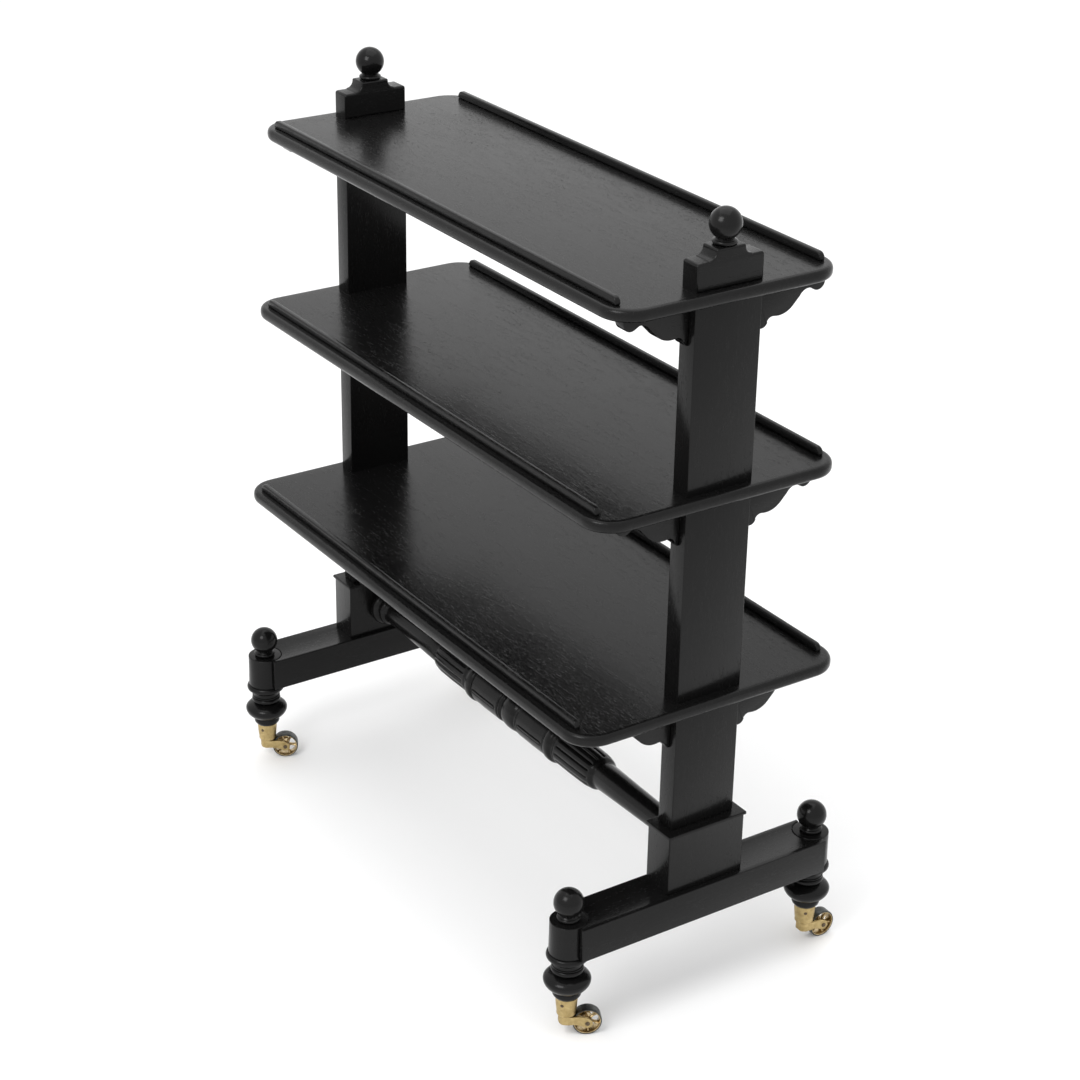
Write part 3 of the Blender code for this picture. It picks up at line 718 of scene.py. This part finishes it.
def horn_mesh(top, trail, axle_height, slot_radius, half_slot, half_width):
    """A round boss under the cup and two leaf-shaped cheeks that reach out to the axle."""
    side = arc((trail, axle_height), HORN_HUB, -98, 52, 20)
    side += [(0.0270, 0.0262), (0.0234, 0.0279), (0.0196, 0.0288), (0.0150, top), (-HORN_BOSS, top)]
    side += arc((HORN_ROUND - HORN_BOSS, HORN_BOTTOM + HORN_ROUND), HORN_ROUND, 180, 265, 6)
    side += [(0.0085, HORN_BOTTOM), (0.0130, HORN_BOTTOM - 0.0006)]
    side += [(0.0180, HORN_BOTTOM - 0.0024), (0.0220, HORN_BOTTOM - 0.0044)]
    plan = arc((0, 0), HORN_BOSS, 100, 260, 24)
    plan += [(0.0030, -half_width), (BEYOND_HORN, -half_width)]
    plan += [(BEYOND_HORN, half_width), (0.0030, half_width)]
    body = helper("horn_plan", extruded("horn_plan", plan, (0, 1), 0.0, BEYOND_HORN, 0.0001))
    profile = helper("horn_side", extruded("horn_side", side, (0, 2), -0.02, 0.04, 0.0001))
    turn = Matrix.Translation((trail, 0, axle_height)) @ Matrix.Rotation(math.pi / 2, 4, "X")
    drum = [(0, half_slot), (slot_radius, half_slot), (slot_radius, -half_slot), (0, -half_slot)]
    slot = turned("slot", drum, WHEEL_SIDES)
    slot.transform(turn)
    cutter = helper("wheel_slot", slot)
    boolean(body, "INTERSECT", profile)
    boolean(body, "DIFFERENCE", cutter)
    bevel = body.modifiers.new("soft_edges", "BEVEL")
    bevel.width = 0.0005
    bevel.segments = 2
    bevel.limit_method = "ANGLE"
    bevel.angle_limit = math.radians(40)
    return applied(body, (profile, cutter), "horn")


def spoke_mesh(start, end):
    """A waisted spoke along X, oval in section."""
    rings = []
    for step in range(SPOKE_STEPS + 1):
        part = step / SPOKE_STEPS
        waist = 1 - SPOKE_WAIST * math.sin(math.pi * part)
        reach = start + (end - start) * part
        ring = []
        for i in range(SPOKE_SIDES):
            turn = math.tau * i / SPOKE_SIDES
            wide = SPOKE_HALF_DEPTH * waist * math.cos(turn)
            ring.append((reach, wide, SPOKE_HALF_WIDTH * waist * math.sin(turn)))
        rings.append(ring)
    return stacked("spoke", rings, 60)


def wheel_mesh(radius, half):
    """Tread and rim, hub, and cast spokes between them, in one piece."""
    rim = [(radius - 0.0018, half - 0.0004), (radius - 0.0013, half), (radius - 0.0005, half - 0.0003)]
    rim += [(radius - 0.0001, half - 0.0010), (radius, half - 0.0020)]
    rim += [(r, -z) for r, z in reversed(rim)]
    inside = [(radius - 0.0026, -half + 0.0006), (radius - RIM_DEPTH, -half + 0.0020)]
    inside += [(radius - 0.0036, 0)]
    rim += inside + [(r, -z) for r, z in reversed(inside[:-1])]
    hub = [(0.0027, half), (0.0048, half), (0.0058, half - 0.0010), (0.0064, half - 0.0026), (0.0066, 0)]
    hub += [(r, -z) for r, z in reversed(hub[:-1])]
    wheel = helper("wheel_rim", turned("rim", rim, WHEEL_SIDES, closed=True))
    tools = [helper("wheel_hub", turned("hub", hub, SMALL, closed=True))]
    for i in range(WHEEL_SPOKES):
        spoke = spoke_mesh(0.0045, radius - RIM_DEPTH)
        spoke.transform(Matrix.Rotation(math.tau * i / WHEEL_SPOKES, 4, "Z"))
        tools.append(helper(f"wheel_spoke_{i}", spoke))
    for tool in tools:
        boolean(wheel, "UNION", tool)
    mesh = applied(wheel, tools, "wheel")
    mesh.materials.append(WHEEL_BRASS)
    mesh.materials.append(TREAD)
    for face in mesh.polygons:
        if math.hypot(face.center.x, face.center.y) > radius - TREAD_DEPTH:
            face.material_index = 1
    mesh.transform(Matrix.Rotation(math.pi / 2, 4, "X"))
    return mesh


def axle_mesh(half):
    """A pin with a domed head at each end."""
    head = [(0, half)]
    head += [(AXLE_HEAD * math.sin(a), half - 0.0012 * (1 - math.cos(a))) for a in quarter(5)]
    head += [(AXLE_HEAD, half - 0.0014), (0.0024, half - 0.0014)]
    mesh = turned("axle", head + [(r, -z) for r, z in reversed(head)], PIN_SIDES)
    mesh.transform(Matrix.Rotation(math.pi / 2, 4, "X"))
    return mesh


def screw_mesh():
    """A small round head with a slot, on the side of a cup: its axis is X."""
    head = [(0, 0.0010), (0.0010, 0.0010), (0.0019, 0.0007), (0.0023, 0.0001)]
    head += [(0.0023, -0.0014), (0, -0.0014)]
    body = helper("screw_head", turned("screw", head, PIN_SIDES))
    slit = [(-0.004, -0.0003), (0.004, -0.0003), (0.004, 0.0003), (-0.004, 0.0003)]
    cutter = helper("screw_slit", extruded("slit", slit, (0, 1), 0.0004, 0.002, 0.00001))
    boolean(body, "DIFFERENCE", cutter)
    mesh = applied(body, (cutter,), "screw")
    mesh.transform(Matrix.Rotation(math.pi / 2, 4, "Y"))
    return mesh


def make_castors():
    """Four castors from one set of meshes; each wheel has stopped at another turn."""
    cup_low, cup_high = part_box("castor_cup_front_right")
    pivot = Vector(joints["front_right_swivel"]["pos_m"])
    hub = Vector(joints["front_right_roll"]["pos_m"])
    trail = (hub - pivot).xy.length
    radius = hub.z
    cheek = HALF_WHEEL + CHEEK_GAP
    half_width = cheek + CHEEK_THICKNESS
    cup = cup_mesh(cup_low.z, cup_high.z)
    horn = horn_mesh(cup_low.z - HORN_GAP, trail, radius, radius + HORN_SLOT_GAP, cheek, half_width)
    wheel = wheel_mesh(radius, HALF_WHEEL)
    axle = axle_mesh(half_width + AXLE_HEAD_RISE)
    screw = screw_mesh()
    screw_seat = Matrix.Translation((CUP_SCREW_REACH, 0, cup_high.z - CUP_SCREW_DROP))
    for index, corner in enumerate(CORNERS):
        pivot = Vector(joints[f"{corner}_swivel"]["pos_m"])
        hub = Vector(joints[f"{corner}_roll"]["pos_m"])
        turn = Matrix.Rotation(math.atan2(hub.y - pivot.y, hub.x - pivot.x), 4, "Z")
        stand = Matrix.Translation((pivot.x, pivot.y, 0))
        pin = Matrix.Translation(hub) @ turn
        rolled = pin @ Matrix.Rotation(WHEEL_FIRST_TURN + WHEEL_NEXT_TURN * index, 4, "Y")
        facing = Matrix.Rotation(math.radians(-58 + 24 * (index % 2)), 4, "Z")
        swivel, rolling = f"swivel_{corner}", f"wheel_{corner}"
        pieces = (
            ("cup", cup, BRASS, "root", "aged_brass", f"castor_cup_{corner}", stand),
            ("horn", horn, BRASS, swivel, "aged_brass", f"castor_horn_{corner}", stand @ turn),
            ("wheel", wheel, None, rolling, "aged_brass", f"castor_wheel_{corner}", rolled),
            ("axle", axle, STEEL, swivel, "axle_steel", f"castor_axle_{corner}", pin),
            ("cup_screw", screw, STEEL, "root", "axle_steel", None, stand @ facing @ screw_seat),
        )
        for name, *rest in pieces:
            add_piece(f"{name}_{corner}", *rest)


# ---------------------------------------------------------------- studio


def make_camera():
    data = bpy.data.cameras.new("camera")
    data.lens = LENS
    data.sensor_width = SENSOR
    data.clip_end = 100
    back = Vector((
        math.sin(AZIMUTH) * math.cos(ELEVATION),
        -math.cos(AZIMUTH) * math.cos(ELEVATION),
        math.sin(ELEVATION),
    ))
    level = Vector((math.cos(AZIMUTH), math.sin(AZIMUTH), 0))
    upright = back.cross(level)
    right = math.cos(ROLL) * level + math.sin(ROLL) * upright
    up = -math.sin(ROLL) * level + math.cos(ROLL) * upright
    camera = bpy.data.objects.new("camera", data)
    camera.matrix_world = Matrix.Translation(CAMERA_PLACE + Vector((0, MID_Y, 0))) @ Matrix(
        (right, up, back)
    ).transposed().to_4x4()
    bpy.context.scene.collection.objects.link(camera)
    bpy.context.scene.camera = camera


def add_softbox(name, place, target, side, power):
    data = bpy.data.lights.new(name, "AREA")
    data.shape = "SQUARE"
    data.size = side
    data.energy = power
    light = bpy.data.objects.new(name, data)
    light.location = place
    light.rotation_euler = (Vector(target) - Vector(place)).to_track_quat("-Z", "Y").to_euler()
    bpy.context.scene.collection.objects.link(light)


def make_studio():
    world = bpy.data.worlds.new("studio")
    bpy.context.scene.world = world
    world.use_nodes = True
    background = world.node_tree.nodes["Background"]
    background.inputs["Color"].default_value = (1, 1, 1, 1)
    background.inputs["Strength"].default_value = WORLD_STRENGTH
    for softbox in SOFTBOXES:
        add_softbox(*softbox)
    bm = bmesh.new()
    bmesh.ops.create_grid(bm, x_segments=8, y_segments=8, size=FLOOR_HALF)
    floor = bpy.data.objects.new("floor", finished(bm, "floor"))
    floor.data.materials.append(floor_material())
    bpy.context.scene.collection.objects.link(floor)
    bpy.context.scene.view_settings.view_transform = "Standard"


MAKERS = {
    "shelf": make_shelf,
    "rail": make_rail,
    "post": make_post,
    "crest": make_crest,
    "bracket": make_bracket,
    "plinth": make_plinth,
    "foot_bar": make_foot_bar,
}

make_camera()
make_studio()
for node in sorted(frame["nodes"]):
    for kind, make in MAKERS.items():
        if node.startswith(f"{kind}_"):
            make(node)
make_turnings()
make_stretcher()
make_castors()
